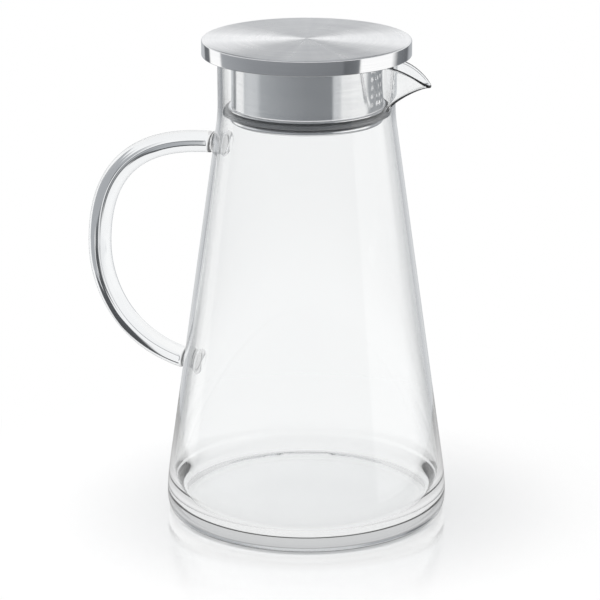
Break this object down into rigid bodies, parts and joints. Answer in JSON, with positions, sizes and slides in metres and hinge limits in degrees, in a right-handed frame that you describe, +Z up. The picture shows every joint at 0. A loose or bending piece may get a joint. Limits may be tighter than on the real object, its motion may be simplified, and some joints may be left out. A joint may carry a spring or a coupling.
{
  "type": "glass carafe",
  "caption": "Clear conical glass carafe with a beak spout, a loop handle and a drop-in brushed steel lid whose strainer drum seals in the neck and turns to the spout.",
  "frame": {"origin": "centre of the flat underside of the glass base", "axes": "+Z up along the jug's axis, +X out of the spout, with the handle at -X, +Y across"},
  "size_m": [0.1924, 0.1402, 0.2396],
  "materials": {
    "glass": "clear, fire-polished borosilicate glass",
    "brushed_steel": "satin, brushed in circles",
    "polished_steel": "polished",
    "silicone": "matt grey silicone"
  },
  "bodies": {
    "carafe": {"glass_body": "glass", "glass_handle": "glass"},
    "seal": {"seal_ring": "silicone"},
    "lid": {"lid_cap": "brushed_steel", "lid_underplate": "brushed_steel", "strainer_drum": "brushed_steel", "seal_carrier": "polished_steel"}
  },
  "joints": [
    {"name": "lid_lift", "type": "slide", "parent": "carafe", "child": "seal", "axis": [0, 0, 1], "range_m": [0, 0.08]},
    {"name": "lid_turn", "type": "hinge", "parent": "seal", "child": "lid", "pos_m": [0, 0, 0.204], "axis": [0, 0, 1], "continuous": true}
  ]
}
